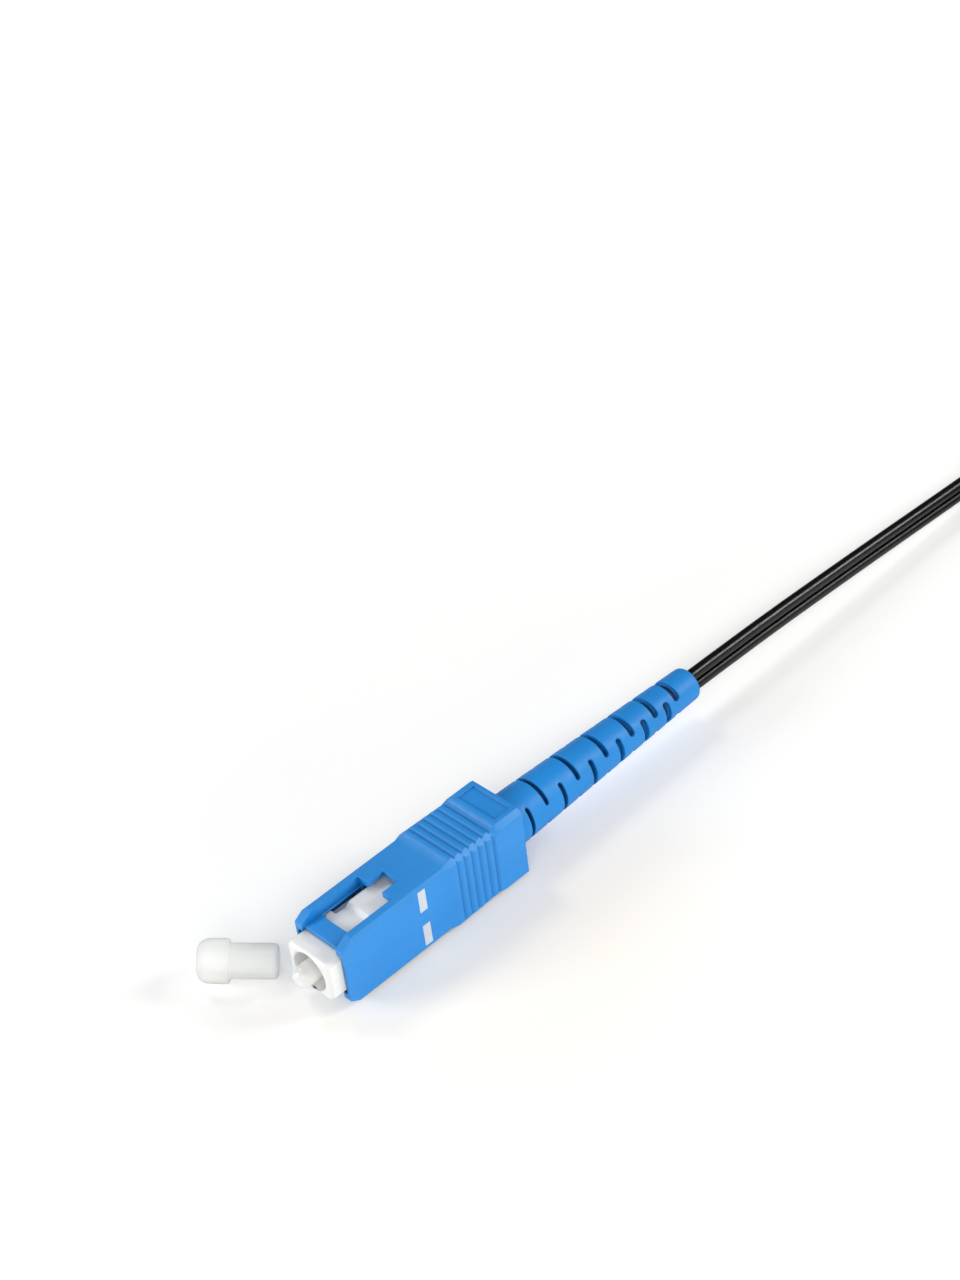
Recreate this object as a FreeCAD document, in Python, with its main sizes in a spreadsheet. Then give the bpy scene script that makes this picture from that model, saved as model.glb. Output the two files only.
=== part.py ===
"""Push-pull fibre connector on a flat drop cable, with its dust cap lying beside the nose.

Millimetres. The origin is the centre of the ferrule's polished tip. +X runs along the connector
towards the cable, +Z is up through one latch slot, and the key rib is on the +Y side.
"""
import FreeCAD, Part
import math
import os
import Sketcher
from FreeCAD import Placement, Rotation, Vector

doc = FreeCAD.newDocument("push_pull_connector")
sheet = doc.addObject("Spreadsheet::Sheet", "Sizes")

SIZES = [
    # ferrule and its flange
    ("ferrule_diameter", 2.5), ("ferrule_length", 11.5), ("tip_face", 1.8), ("tip_taper", 0.4),
    ("glue_groove_front", 0.05), ("glue_groove_width", 0.65), ("glue_groove_depth", 0.2),
    ("flange_start", 9.25), ("flange_diameter", 4.4), ("flange_thickness", 1.2),
    ("flange_notch", 0.7), ("flange_notch_depth", 0.4),
    ("barrel_diameter", 3.1), ("barrel_length", 6.0), ("barrel_bore", 1.2),
    # white plug frame
    ("frame_front", 1.9), ("frame_width", 6.4), ("frame_height", 5.2), ("frame_length", 20.6),
    ("frame_nose_bevel", 0.35), ("frame_edge_bevel", 0.5), ("frame_bore", 4.7),
    ("frame_bore_depth", 6.2), ("bore_lead_in", 0.15), ("stop_wall", 1.0), ("stop_hole", 3.6),
    ("frame_cavity", 4.6),
    ("latch_start", 9.05), ("latch_crest", 9.6), ("latch_end", 14.9), ("latch_half_width", 1.8),
    ("latch_rise", 0.6), ("side_step_start", 7.9), ("side_step_inner", 1.95),
    ("side_step_depth", 0.9),
    ("snap_start", 19.2), ("snap_length", 2.0), ("snap_height", 2.2),
    # blue outer housing
    ("housing_front", 3.8), ("housing_width", 7.4), ("housing_height", 9.0),
    ("housing_rear", 29.9), ("frame_side_gap", 0.08), ("frame_top_gap", 0.1),
    ("cavity_end", 24.3), ("rear_bore", 6.8),
    ("edge_bevel", 0.25), ("grip_bevel", 0.65), ("flare_start", 18.3), ("flare_length", 1.0),
    ("flare_side", 0.35), ("flare_top", 0.35), ("dip_end", 25.5), ("dip_depth", 0.22),
    ("shoulder_end", 26.4), ("shoulder_rise", 0.25),
    ("plate_front", 4.2), ("plate_end", 6.4), ("plate_thickness", 0.6),
    ("slot_half_width", 2.62), ("window_half_width", 2.3), ("slot_end", 11.96),
    ("neck_half_width", 1.14), ("neck_end", 14.22),
    ("relief_start", 6.9), ("relief_half_width", 3.0), ("shelf_thickness", 0.2),
    ("latch_way_end", 16.0), ("latch_way_half_width", 2.1), ("ceiling_thickness", 0.75),
    ("nose_bevel_length", 1.5), ("nose_bevel_height", 0.95),
    ("groove_first", 20.1), ("groove_pitch", 1.04), ("groove_width", 0.5), ("groove_depth", 0.26),
    ("key_start", 6.2), ("key_length", 13.0), ("key_width", 2.0), ("key_height", 0.75),
    ("key_slope", 0.6),
    ("mark_start", 14.56), ("mark_width", 1.05), ("mark_near", 0.97), ("mark_far", 3.88),
    ("mark_depth", 0.1),
    ("label_start", 27.0), ("label_end", 29.35), ("label_half_width", 2.8), ("label_depth", 0.2),
    # spring, stop ring, crimp ring, shrink tube
    ("spring_wire", 0.45), ("spring_outside", 4.2), ("spring_turns", 5.0),
    ("stop_start", 18.0), ("stop_bore", 2.6), ("stop_collar", 5.2), ("stop_collar_length", 1.0),
    ("stop_barrel", 3.6), ("stop_barrel_length", 5.0), ("snap_bump", 0.45), ("snap_clearance", 0.1),
    ("crimp_groove_start", 1.8), ("crimp_groove_width", 1.6), ("crimp_groove_depth", 0.15),
    ("crimp_gap", 0.2), ("crimp_wall", 0.45), ("crimp_front_length", 5.0),
    ("crimp_taper", 0.8), ("crimp_rear_bore", 3.2), ("crimp_rear_wall", 0.35),
    ("crimp_rear_length", 4.4),
    ("shrink_wall", 0.2), ("shrink_front", 31.4), ("shrink_step", 35.0), ("shrink_step_length", 1.2),
    ("shrink_end", 40.6), ("shrink_bore", 3.1),
    ("tube_diameter", 0.9), ("tube_start", 13.4), ("cable_start", 32.0),
    ("rod_diameter", 0.4), ("rod_spacing", 1.9), ("rod_start", 26.0),
    # slotted boot
    ("boot_start", 25.7), ("boot_collar_end", 30.6), ("boot_diameter", 6.3),
    ("boot_end", 60.85), ("boot_end_diameter", 4.15), ("boot_end_round", 0.2),
    ("boot_crimp_gap", 0.02), ("boot_shrink_gap", 0.05), ("boot_hole", 3.3), ("boot_hole_start", 43.4),
    ("boot_step_gap", 0.3), ("slot_reach", 1.4),
    ("slot_first", 32.2), ("slot_step", 2.7), ("slot_step_loss", 0.09), ("slot_width", 0.5),
    ("slot_width_gain", 0.04), ("side_slot_angle", 98.0), ("top_slot_angle", 138.0),
    # cable, coil, ties
    ("cable_width", 3.0), ("cable_thickness", 2.0), ("coil_radius", 15.5), ("coil_width", 10.5),
    ("coil_height", 6.2), ("coil_x", 137.0), ("coil_y", -19.7),
    ("tie_thickness", 0.35), ("tie_width", 4.0), ("tie_gap", 0.2),
    # dust cap
    ("cap_head_diameter", 4.9), ("cap_head_length", 3.9), ("cap_diameter", 3.95),
    ("cap_length", 9.1), ("cap_bore", 2.56), ("cap_bore_depth", 7.2), ("cap_round", 0.35),
    ("cap_x", -3.45), ("cap_y", 12.95), ("cap_turn", -52.4),
]

ROUTE = [(32.0, 0.0), (66.0, -0.05), (90.0, -1.05), (111.0, -2.25), (127.5, -3.0)]
SECTION_TOLERANCE = 0.01


# ---------------------------------------------------------------- helpers
def fill_sheet():
    """One row per driving dimension: its name in column A, its value in column B."""
    for row, (alias, number) in enumerate(SIZES, start=1):
        sheet.set(f"A{row}", alias)
        sheet.set(f"B{row}", str(number))
        sheet.setAlias(f"B{row}", alias)
    doc.recompute()


def expr(text):
    """Turn $name into a reference to the sheet's cell of that name."""
    return text.replace("$", "Sizes.")


def size(text):
    """The number that an expression over the sheet gives now."""
    return float(sheet.evalExpression(expr(text)))


def new_body(name):
    body = doc.addObject("PartDesign::Body", name)
    body.Label = name
    return body


def origin_plane(body, role):
    return next(item for item in body.Origin.OriginFeatures if item.Role == role)


def new_sketch(body, name, role, offset=None):
    """A sketch on one of the body's origin planes, moved along the plane's normal by offset."""
    sketch = body.newObject("Sketcher::SketchObject", name)
    sketch.AttachmentSupport = (origin_plane(body, role), [""])
    sketch.MapMode = "FlatFace"
    if offset is not None:
        sketch.setExpression("AttachmentOffset.Base.z", expr(offset))
    return sketch


def add_outline(sketch, corners):
    """Add a closed polygon whose corners are pairs of expressions over the sheet."""
    first = sketch.GeometryCount
    points = [Vector(size(across), size(up), 0) for across, up in corners]
    count = len(points)
    for index in range(count):
        sketch.addGeometry(Part.LineSegment(points[index], points[(index + 1) % count]))
    for index in range(count):
        joint = Sketcher.Constraint("Coincident", first + index, 2, first + (index + 1) % count, 1)
        sketch.addConstraint(joint)
    for index, (across, up) in enumerate(corners):
        for kind, start, text in (("DistanceX", points[index].x, across),
                                  ("DistanceY", points[index].y, up)):
            label = f"{kind}{first + index}"
            place = sketch.addConstraint(Sketcher.Constraint(kind, -1, 1, first + index, 1, start))
            sketch.renameConstraint(place, label)
            sketch.setExpression(f"Constraints.{label}", expr(text))


def add_circle(sketch, across, up, radius):
    """Add a circle whose centre and radius are expressions over the sheet."""
    index = sketch.GeometryCount
    centre = Vector(size(across), size(up), 0)
    sketch.addGeometry(Part.Circle(centre, Vector(0, 0, 1), size(radius)))
    rules = [("DistanceX", -1, 1, index, 3, centre.x), ("DistanceY", -1, 1, index, 3, centre.y),
             ("Radius", index, size(radius))]
    for rule, text in zip(rules, (across, up, radius)):
        label = f"{rule[0]}{index}"
        place = sketch.addConstraint(Sketcher.Constraint(*rule))
        sketch.renameConstraint(place, label)
        sketch.setExpression(f"Constraints.{label}", expr(text))


def box_corners(low_u, high_u, low_v, high_v):
    return [(low_u, low_v), (high_u, low_v), (high_u, high_v), (low_u, high_v)]


def mirrored_corners(corners):
    """The same outline below the sketch's horizontal axis."""
    return [(across, f"-({up})") for across, up in corners]


def bevelled_box(half_u, half_v, bevel):
    """A box about the axis with its four corners cut off."""
    inner_u, inner_v = f"({half_u})-({bevel})", f"({half_v})-({bevel})"
    return [(f"-({inner_u})", f"-({half_v})"), (inner_u, f"-({half_v})"),
            (half_u, f"-({inner_v})"), (half_u, inner_v),
            (inner_u, half_v), (f"-({inner_u})", half_v),
            (f"-({half_u})", inner_v), (f"-({half_u})", f"-({inner_v})")]


def pad(body, sketch, length, symmetric=False):
    feature = body.newObject("PartDesign::Pad", f"{sketch.Name}_pad")
    feature.Profile = sketch
    feature.setExpression("Length", expr(length))
    if symmetric:
        feature.SideType = "Symmetric"
    body.Tip = feature
    return feature


def pocket(body, sketch, length=None, reverse=False):
    """Cut to a length from the sketch plane, or with no length right through both ways."""
    feature = body.newObject("PartDesign::Pocket", f"{sketch.Name}_cut")
    feature.Profile = sketch
    feature.Reversed = reverse
    if length is None:
        feature.SideType = "Symmetric"
        feature.Type = "ThroughAll"
    else:
        feature.setExpression("Length", expr(length))
    body.Tip = feature
    return feature


def turn(body, sketch, kind="PartDesign::Revolution", angle=None, axis="H_Axis"):
    """Revolve a profile about the sketch's axis: all round, or an angle centred on its plane."""
    feature = body.newObject(kind, f"{sketch.Name}_turn")
    feature.Profile = sketch
    feature.ReferenceAxis = (sketch, [axis])
    if angle is None:
        feature.Angle = 360.0
    else:
        feature.Midplane = True
        feature.setExpression("Angle", expr(angle))
    body.Tip = feature
    return feature


def mirror(body, originals, role):
    feature = body.newObject("PartDesign::Mirrored", f"{originals[0].Name}_mirror")
    feature.Originals = originals
    feature.MirrorPlane = (origin_plane(body, role), [""])
    body.Tip = feature
    return feature


def edges_where(feature, test):
    """Names of the feature's edges whose every vertex passes the test."""
    names = []
    for number, edge in enumerate(feature.Shape.Edges, start=1):
        if all(test(vertex.Point) for vertex in edge.Vertexes):
            names.append(f"Edge{number}")
    return names


def dress(body, kind, base, test, property_name, text):
    """A fillet or chamfer on the base feature's edges that pass the test."""
    doc.recompute()
    feature = body.newObject(kind, f"{base.Name}_{property_name.lower()}")
    feature.Base = (base, edges_where(base, test))
    feature.setExpression(property_name, expr(text))
    body.Tip = feature
    return feature


def near(value, target):
    return abs(value - target) < SECTION_TOLERANCE


def turned_piece(name, corners):
    """A piece turned about the connector's axis from one profile of (x, radius) corners."""
    body = new_body(name)
    sketch = new_sketch(body, f"{name}_profile", "XY_Plane")
    add_outline(sketch, corners)
    turn(body, sketch)
    return body


# ---------------------------------------------------------------- ferrule assembly
def make_ferrule():
    """Ceramic ferrule: tapered tip, fibre polished flush, adhesive groove at the flange's mouth."""
    radius = "$ferrule_diameter/2"
    groove = "$flange_start-$glue_groove_front"
    groove_end = f"{groove}+$glue_groove_width"
    return turned_piece("ferrule", [
        ("0", "0"), ("0", "$tip_face/2"), ("$tip_taper", radius), (groove, radius),
        (groove, f"{radius}-$glue_groove_depth"), (groove_end, f"{radius}-$glue_groove_depth"),
        (groove_end, radius), ("$ferrule_length", radius), ("$ferrule_length", "0")])


def make_flange():
    """Flange that grips the ferrule's rear end, with four tuning notches and a rear barrel."""
    rear = "$flange_start+$flange_thickness"
    end = f"{rear}+$barrel_length"
    body = turned_piece("ferrule_flange", [
        ("$flange_start", "$ferrule_diameter/2"), ("$flange_start", "$flange_diameter/2"),
        (rear, "$flange_diameter/2"), (rear, "$barrel_diameter/2"), (end, "$barrel_diameter/2"),
        (end, "$barrel_bore/2"), ("$ferrule_length", "$barrel_bore/2"),
        ("$ferrule_length", "$ferrule_diameter/2")])
    for role in ("XY_Plane", "XZ_Plane"):
        notch = new_sketch(body, f"notch_{role[:2].lower()}", role)
        root = "$flange_diameter/2-$flange_notch_depth"
        shape = box_corners("$flange_start", rear, root, "$flange_diameter/2+$flange_notch_depth")
        add_outline(notch, shape)
        add_outline(notch, mirrored_corners(shape))
        cut = pocket(body, notch, "$flange_notch")
        cut.SideType = "Symmetric"
    return body


# ---------------------------------------------------------------- plug frame
def latch_profile(start, crest, end, rise):
    """Side view of a raised latch shoulder that ramps up towards the rear."""
    top = "$frame_height/2"
    return [(start, f"{top}-$frame_top_gap"), (start, top), (crest, f"{top}+{rise}"),
            (end, f"{top}+{rise}"), (end, f"{top}-$frame_top_gap")]


def make_frame():
    """White plug frame: bored box, stepped down beside a raised latch above and below."""
    body = new_body("plug_frame")
    blank = new_sketch(body, "frame_section", "YZ_Plane", "$frame_front")
    add_outline(blank, bevelled_box("$frame_width/2", "$frame_height/2", "$frame_edge_bevel"))
    block = pad(body, blank, "$frame_length")
    dress(body, "PartDesign::Chamfer", block,
          lambda point: near(point.x, size("$frame_front")), "Size", "$frame_nose_bevel")

    shoulders = new_sketch(body, "latch_side", "XZ_Plane")
    shape = latch_profile("$latch_start", "$latch_crest", "$latch_end", "$latch_rise")
    add_outline(shoulders, shape)
    add_outline(shoulders, mirrored_corners(shape))
    pad(body, shoulders, "2*$latch_half_width", symmetric=True)
    steps = new_sketch(body, "side_steps", "YZ_Plane", "$side_step_start")
    for side in ("", "-"):
        for level in ("", "-"):
            add_outline(steps, box_corners(
                f"{side}$side_step_inner", f"{side}$frame_width",
                f"{level}($frame_height/2-$side_step_depth)", f"{level}$frame_height"))
    pocket(body, steps, "$latch_end-$side_step_start", reverse=True)

    bore = new_sketch(body, "frame_bore", "XY_Plane")
    mouth = "$frame_front"
    wall = "$frame_front+$frame_bore_depth"
    rear = "$frame_front+$frame_length"
    add_outline(bore, [
        (mouth, "0"), (mouth, "$frame_bore/2+$bore_lead_in"),
        (f"{mouth}+$bore_lead_in", "$frame_bore/2"), (wall, "$frame_bore/2"),
        (wall, "$stop_hole/2"), (f"{wall}+$stop_wall", "$stop_hole/2"),
        (f"{wall}+$stop_wall", "$frame_cavity/2"), (rear, "$frame_cavity/2"), (rear, "0")])
    turn(body, bore, kind="PartDesign::Groove")

    windows = new_sketch(body, "snap_window", "XZ_Plane")
    add_outline(windows, box_corners("$snap_start", "$snap_start+$snap_length",
                                     "-$snap_height/2", "$snap_height/2"))
    pocket(body, windows)
    return body


# ---------------------------------------------------------------- outer housing
def housing_blank(body):
    """Straight nose, short flare, slightly waisted grip and a shoulder behind it."""
    nose = ("$housing_width/2", "$housing_height/2", "$edge_bevel")
    side = "$housing_width/2+$flare_side"
    top = "$housing_height/2+$flare_top"
    grip = (side, top, "$grip_bevel")
    waist = (side, f"{top}-$dip_depth", "$grip_bevel")
    rear = (side, f"{top}-$dip_depth+$shoulder_rise", "$grip_bevel")
    stations = [("$housing_front", nose), ("$flare_start", nose),
                ("$flare_start+$flare_length", grip), ("$dip_end", waist),
                ("$shoulder_end", rear), ("$housing_rear", rear)]
    sketches = []
    for number, (place, section) in enumerate(stations):
        sketch = new_sketch(body, f"section_{number}", "YZ_Plane", place)
        add_outline(sketch, bevelled_box(*section))
        sketches.append(sketch)
    loft = body.newObject("PartDesign::AdditiveLoft", "housing_loft")
    loft.Profile = sketches[0]
    loft.Sections = sketches[1:]
    loft.Ruled = True
    body.Tip = loft
    return loft


def housing_insides(body):
    """Rectangular cavity for the plug frame and a round bore for the boot's collar."""
    half_width = "$frame_width/2+$frame_side_gap"
    half_height = "$frame_height/2+$frame_top_gap"
    cavity = new_sketch(body, "cavity", "YZ_Plane", "$housing_front")
    add_outline(cavity, box_corners(f"-({half_width})", half_width,
                                    f"-({half_height})", half_height))
    pocket(body, cavity, "$cavity_end-$housing_front", reverse=True)
    bore = new_sketch(body, "rear_bore", "YZ_Plane", "$housing_rear")
    add_circle(bore, "0", "0", "$rear_bore/2")
    pocket(body, bore, "$housing_rear-$cavity_end")


def housing_latch_slots(body):
    """T-shaped slot with a sunk nose plate on top, and the same below."""
    ceiling = "$frame_height/2"
    plate_top = "$frame_height/2+$frame_top_gap+$plate_thickness"
    reach = "$housing_height"
    cuts = []
    for name, level, start, end, half in (
            ("channel", plate_top, "$housing_front", "$slot_end", "$slot_half_width"),
            ("plate_edge", ceiling, "$housing_front", "$plate_front", "$slot_half_width"),
            ("window", ceiling, "$plate_end", "$slot_end", "$window_half_width"),
            ("neck", ceiling, "$slot_end", "$neck_end", "$neck_half_width")):
        sketch = new_sketch(body, name, "XY_Plane", level)
        add_outline(sketch, box_corners(start, end, f"-{half}", half))
        cuts.append(pocket(body, sketch, reach, reverse=True))
    mirror(body, cuts, "XY_Plane")


def housing_latch_way(body):
    """Room inside the housing over the frame's latches, which leaves the slot's edges thin."""
    inside = "$frame_height/2"
    shelf = "$frame_height/2+$frame_top_gap+$plate_thickness-$shelf_thickness"
    ceiling = "$housing_height/2-$ceiling_thickness"
    cuts = []
    for name, level, start, end, half in (
            ("relief", shelf, "$relief_start", "$slot_end", "$relief_half_width"),
            ("latch_way", ceiling, "$slot_end", "$latch_way_end", "$latch_way_half_width")):
        sketch = new_sketch(body, name, "XY_Plane", inside)
        add_outline(sketch, box_corners(start, end, f"-{half}", half))
        cuts.append(pocket(body, sketch, f"{level}-{inside}", reverse=True))
    mirror(body, cuts, "XY_Plane")


def housing_nose_bevels(body):
    """Sloped front ends of the channel walls, above and below."""
    sketch = new_sketch(body, "nose_bevel", "XZ_Plane")
    top = "$housing_height/2"
    beyond = "$nose_bevel_height"
    shape = [("$housing_front-$nose_bevel_length", f"{top}-2*{beyond}"),
             ("$housing_front+$nose_bevel_length", top),
             ("$housing_front+2*$nose_bevel_length", f"{top}+{beyond}"),
             ("$housing_front-$nose_bevel_length", f"{top}+{beyond}")]
    add_outline(sketch, shape)
    add_outline(sketch, mirrored_corners(shape))
    pocket(body, sketch)


def groove_profile(number, surface):
    """Saw-tooth groove: steep in front, sloping out to the rear."""
    start = f"$groove_first+{number}*$groove_pitch"
    return [(start, f"{surface}-$groove_depth"), (f"{start}+$groove_width", surface),
            (f"{start}+$groove_width", f"{surface}+$groove_depth"),
            (start, f"{surface}+$groove_depth")]


def housing_grip(body):
    """Six finger grooves across all four sides."""
    top = "$housing_height/2+$flare_top"
    side = "$housing_width/2+$flare_side"
    for name, role, surface in (("top_grooves", "XZ_Plane", top),
                                ("side_grooves", "XY_Plane", side)):
        sketch = new_sketch(body, name, role)
        for number in range(GROOVES):
            level = surface
            if role == "XZ_Plane":
                level = f"{surface}-$dip_depth*({number}+0.5)/{GROOVES}"
            shape = groove_profile(number, level)
            add_outline(sketch, shape)
            add_outline(sketch, mirrored_corners(shape))
        pocket(body, sketch)


GROOVES = 6


def housing_key(body):
    """Key rib along the +Y side, sloped at both ends."""
    root = "$housing_width/2-$edge_bevel"
    crest = "$housing_width/2+$key_height"
    sketch = new_sketch(body, "key_profile", "XY_Plane")
    add_outline(sketch, [("$key_start", root), ("$key_start+$key_slope", crest),
                         ("$key_start+$key_length-$key_slope", crest),
                         ("$key_start+$key_length", root)])
    pad(body, sketch, "$key_width", symmetric=True)


def housing_recesses(body):
    """Shallow seats for the two side marks, and the bare label recess on top."""
    marks = new_sketch(body, "mark_seats", "XZ_Plane", "$housing_width/2-$mark_depth")
    for low, high in (("$mark_near", "$mark_far"), ("-$mark_far", "-$mark_near")):
        add_outline(marks, box_corners("$mark_start", "$mark_start+$mark_width", low, high))
    pocket(body, marks, "2*$mark_depth", reverse=True)
    top = "$housing_height/2+$flare_top-$dip_depth+$shoulder_rise"
    label = new_sketch(body, "label_recess", "XY_Plane", f"{top}-$label_depth")
    add_outline(label, box_corners("$label_start", "$label_end",
                                   "-$label_half_width", "$label_half_width"))
    pocket(body, label, "2*$label_depth", reverse=True)


def make_housing():
    body = new_body("outer_housing")
    housing_blank(body)
    housing_key(body)
    housing_insides(body)
    housing_latch_slots(body)
    housing_latch_way(body)
    housing_nose_bevels(body)
    housing_grip(body)
    housing_recesses(body)
    return body


def make_marks():
    """Two white bars set flush in the housing's -Y side."""
    bars = []
    for name, low in (("upper_mark", "$mark_near"), ("lower_mark", "-$mark_far")):
        bar = doc.addObject("Part::Box", name)
        bar.setExpression("Length", expr("$mark_width"))
        bar.setExpression("Width", expr("$mark_depth"))
        bar.setExpression("Height", expr("$mark_far-$mark_near"))
        bar.setExpression("Placement.Base.x", expr("$mark_start"))
        bar.setExpression("Placement.Base.y", expr("-$housing_width/2"))
        bar.setExpression("Placement.Base.z", expr(low))
        bars.append(bar)
    pair = doc.addObject("Part::Compound", "insertion_marks")
    pair.Links = bars
    pair.Label = "insertion_marks"
    return pair


# ---------------------------------------------------------------- inside the frame and the boot
def make_spring():
    """Compression spring between the flange and the stop ring, its wire drawn four-sided."""
    front = "$flange_start+$flange_thickness"
    body = new_body("spring")
    sketch = new_sketch(body, "spring_wire", "XY_Plane")
    middle = f"{front}+$spring_wire/2"
    ring = "$spring_outside/2-$spring_wire/2"
    add_outline(sketch, [(front, ring), (middle, f"{ring}-$spring_wire/2"),
                         (f"{front}+$spring_wire", ring), (middle, "$spring_outside/2")])
    coil = body.newObject("PartDesign::AdditiveHelix", "spring_coil")
    coil.Profile = sketch
    coil.ReferenceAxis = (sketch, ["H_Axis"])
    coil.Mode = "height-turns-angle"
    coil.setExpression("Height", expr(f"$stop_start-({front})-$spring_wire"))
    coil.setExpression("Turns", expr("$spring_turns"))
    body.Tip = coil
    return body


def make_stop_ring():
    """Metal stop ring: snaps into the frame, carries the spring and the crimp."""
    rear = "$frame_front+$frame_length"
    collar_end = f"{rear}+$stop_collar_length"
    end = f"{collar_end}+$stop_barrel_length"
    groove = f"{collar_end}+$crimp_groove_start"
    root = "$stop_barrel/2-$crimp_groove_depth"
    body = turned_piece("stop_ring", [
        ("$stop_start", "$stop_bore/2"), ("$stop_start", "$frame_cavity/2"),
        (rear, "$frame_cavity/2"), (rear, "$stop_collar/2"),
        (collar_end, "$stop_collar/2"), (collar_end, "$stop_barrel/2"),
        (groove, "$stop_barrel/2"), (groove, root), (f"{groove}+$crimp_groove_width", root),
        (f"{groove}+$crimp_groove_width", "$stop_barrel/2"),
        (end, "$stop_barrel/2"), (end, "$stop_bore/2")])
    bumps = new_sketch(body, "snap_bumps", "XY_Plane")
    low = "$snap_start+$snap_clearance"
    high = "$snap_start+$snap_length-$snap_clearance"
    crest = "$frame_cavity/2+$snap_bump"
    shape = [(low, "$stop_bore/2+$snap_bump"), (low, "$frame_cavity/2"), (high, crest),
             (high, "$stop_bore/2+$snap_bump")]
    add_outline(bumps, shape)
    add_outline(bumps, mirrored_corners(shape))
    pad(body, bumps, "$snap_height-2*$snap_clearance", symmetric=True)
    return body


def crimp_start():
    return "$frame_front+$frame_length+$stop_collar_length+$crimp_gap"


def make_crimp_ring():
    """Crimp sleeve over the stop ring's barrel, necked down round the cable."""
    start = crimp_start()
    step = f"{start}+$crimp_front_length"
    neck = f"{step}+$crimp_taper"
    end = f"{neck}+$crimp_rear_length"
    return turned_piece("crimp_ring", [
        (start, "$stop_barrel/2"), (start, "$stop_barrel/2+$crimp_wall"),
        (step, "$stop_barrel/2+$crimp_wall"), (neck, "$crimp_rear_bore/2+$crimp_rear_wall"),
        (end, "$crimp_rear_bore/2+$crimp_rear_wall"), (end, "$crimp_rear_bore/2"),
        (neck, "$crimp_rear_bore/2"), (step, "$stop_barrel/2")])


def make_shrink_tube():
    """Heat-shrink tube from the crimp ring's neck down on to the cable."""
    wide = "$crimp_rear_bore/2+$crimp_rear_wall"
    narrow = "$shrink_bore/2"
    step = "$shrink_step"
    taper = "$shrink_step+$shrink_step_length"
    return turned_piece("shrink_tube", [
        ("$shrink_front", wide), ("$shrink_front", f"{wide}+$shrink_wall"),
        (step, f"{wide}+$shrink_wall"), (taper, f"{narrow}+$shrink_wall"),
        ("$shrink_end", f"{narrow}+$shrink_wall"), ("$shrink_end", narrow),
        (taper, narrow), (step, wide)])


def make_fibre_tube():
    """Buffer tube that brings the fibre from the cable into the flange's barrel."""
    tube = doc.addObject("Part::Cylinder", "fibre_tube")
    tube.Label = "fibre_tube"
    tube.setExpression("Radius", expr("$tube_diameter/2"))
    tube.setExpression("Height", expr("$cable_start-$tube_start"))
    tube.Placement = Placement(Vector(0, 0, 0), Rotation(Vector(0, 1, 0), 90))
    tube.setExpression("Placement.Base.x", expr("$tube_start"))
    return tube


def make_rods():
    """The cable's two stiff strength members, held under the crimp."""
    rods = []
    for name, side in (("lower_rod", "-$rod_spacing/2"), ("upper_rod", "$rod_spacing/2")):
        rod = doc.addObject("Part::Cylinder", name)
        rod.setExpression("Radius", expr("$rod_diameter/2"))
        rod.setExpression("Height", expr("$cable_start-$rod_start"))
        rod.Placement = Placement(Vector(0, 0, 0), Rotation(Vector(0, 1, 0), 90))
        rod.setExpression("Placement.Base.x", expr("$rod_start"))
        rod.setExpression("Placement.Base.z", expr(side))
        rods.append(rod)
    pair = doc.addObject("Part::Compound", "strength_members")
    pair.Links = rods
    pair.Label = "strength_members"
    return pair


# ---------------------------------------------------------------- boot
def slot_place(number):
    """Centre of one ring of slots; the rings close up towards the cable."""
    return f"$slot_first+{number}*$slot_step-$slot_step_loss*{number * (number - 1) // 2}"


def slot_corners(number):
    """Section of one slot, cut from inside the cable's way out past the boot's skin."""
    half = f"($slot_width+{number}*$slot_width_gain)/2"
    centre = slot_place(number)
    return box_corners(f"{centre}-{half}", f"{centre}+{half}", "$slot_reach",
                       "$boot_diameter/2+$slot_width")


def boot_insides(body):
    """Eight-sided way for the cable, wide over the shrink tube and narrowing to the end."""
    wide = "$crimp_rear_bore/2+$crimp_rear_wall+$shrink_wall+$boot_shrink_gap"
    narrow = "$boot_hole/2"
    step = f"{crimp_start()}+$crimp_front_length+$boot_step_gap"
    sketches = []
    for number, (place, half) in enumerate((
            (step, wide), ("$shrink_step+$shrink_step_length", wide),
            ("$boot_hole_start", narrow), ("$boot_end", narrow))):
        sketch = new_sketch(body, f"way_{number}", "YZ_Plane", place)
        add_outline(sketch, bevelled_box(half, half, f"({half})/2"))
        sketches.append(sketch)
    way = body.newObject("PartDesign::SubtractiveLoft", "cable_way")
    way.Profile = sketches[0]
    way.Sections = sketches[1:]
    way.Ruled = True
    body.Tip = way


def make_boot():
    """Tapered bend-relief boot with staggered slots that leave two webs at every ring."""
    crimp = "$stop_barrel/2+$crimp_wall+$boot_crimp_gap"
    step = f"{crimp_start()}+$crimp_front_length+$boot_step_gap"
    body = turned_piece("strain_relief_boot", [
        ("$boot_start", crimp), ("$boot_start", "$boot_diameter/2"),
        ("$boot_collar_end", "$boot_diameter/2"),
        ("$boot_end-$boot_end_round", f"{boot_end_radius()}"),
        ("$boot_end", f"{boot_end_radius()}-$boot_end_round"),
        ("$boot_end", "0"), (step, "0"), (step, crimp)])
    boot_insides(body)
    for name, role, first, angle in (("side_slots", "XY_Plane", 0, "$side_slot_angle"),
                                     ("top_slots", "XZ_Plane", 1, "$top_slot_angle")):
        sketch = new_sketch(body, name, role)
        for number in range(first, SLOT_RINGS, 2):
            shape = slot_corners(number)
            add_outline(sketch, shape)
            add_outline(sketch, mirrored_corners(shape))
        turn(body, sketch, kind="PartDesign::Groove", angle=angle)
    return body


def boot_end_radius():
    return "$boot_end_diameter/2"


SLOT_RINGS = 12


# ---------------------------------------------------------------- cable and its put-away coil
def floor_level():
    """Height of the surface that the housing's rear block rests on."""
    return -size("$housing_height/2+$flare_top-$dip_depth+$shoulder_rise")


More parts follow.
